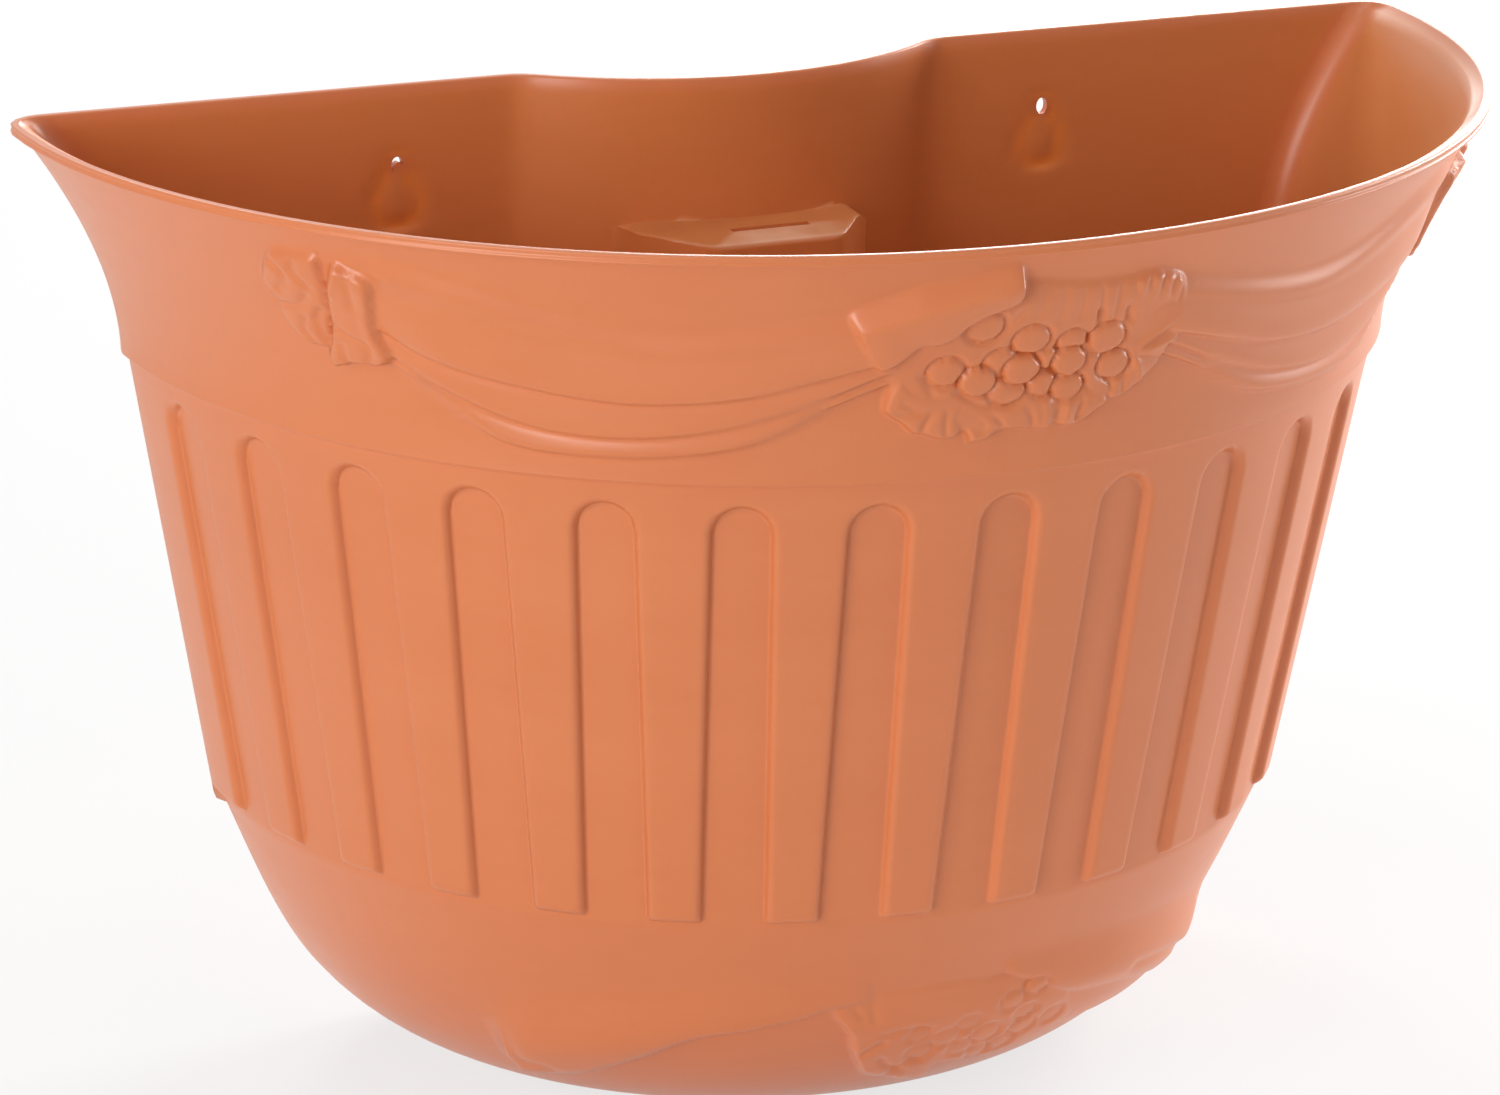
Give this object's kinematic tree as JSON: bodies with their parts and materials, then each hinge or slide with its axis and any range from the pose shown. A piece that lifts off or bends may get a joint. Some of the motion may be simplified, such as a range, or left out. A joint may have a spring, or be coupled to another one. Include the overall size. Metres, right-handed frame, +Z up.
{
  "type": "wall planter",
  "caption": "Half-round wall planter with a flared collar, fluted body, festoon relief, hang holes, a pipe channel in its back and push-in drain bungs.",
  "frame": {"origin": "on the wall plane, midway between the two hang holes", "axes": "+X to the right along the wall as seen from the front, +Y into the wall, +Z up"},
  "size_m": [0.4, 0.204, 0.26],
  "materials": {
    "terracotta_plastic": "satin moulded plastic, terracotta colour with faint mottling",
    "bung_plastic": "plain satin moulded plastic, darker terracotta"
  },
  "bodies": {
    "root": {"planter_shell": "terracotta_plastic"},
    "bung_left": {"drain_bung_left": "bung_plastic"},
    "bung_middle": {"drain_bung_middle": "bung_plastic"},
    "bung_right": {"drain_bung_right": "bung_plastic"}
  },
  "joints": [
    {"name": "bung_left_pull", "type": "slide", "parent": "root", "child": "bung_left", "axis": [0, 0, 1], "range_m": [0, 0.012]},
    {"name": "bung_middle_pull", "type": "slide", "parent": "root", "child": "bung_middle", "axis": [0, 0, 1], "range_m": [0, 0.012]},
    {"name": "bung_right_pull", "type": "slide", "parent": "root", "child": "bung_right", "axis": [0, 0, 1], "range_m": [0, 0.012]}
  ]
}
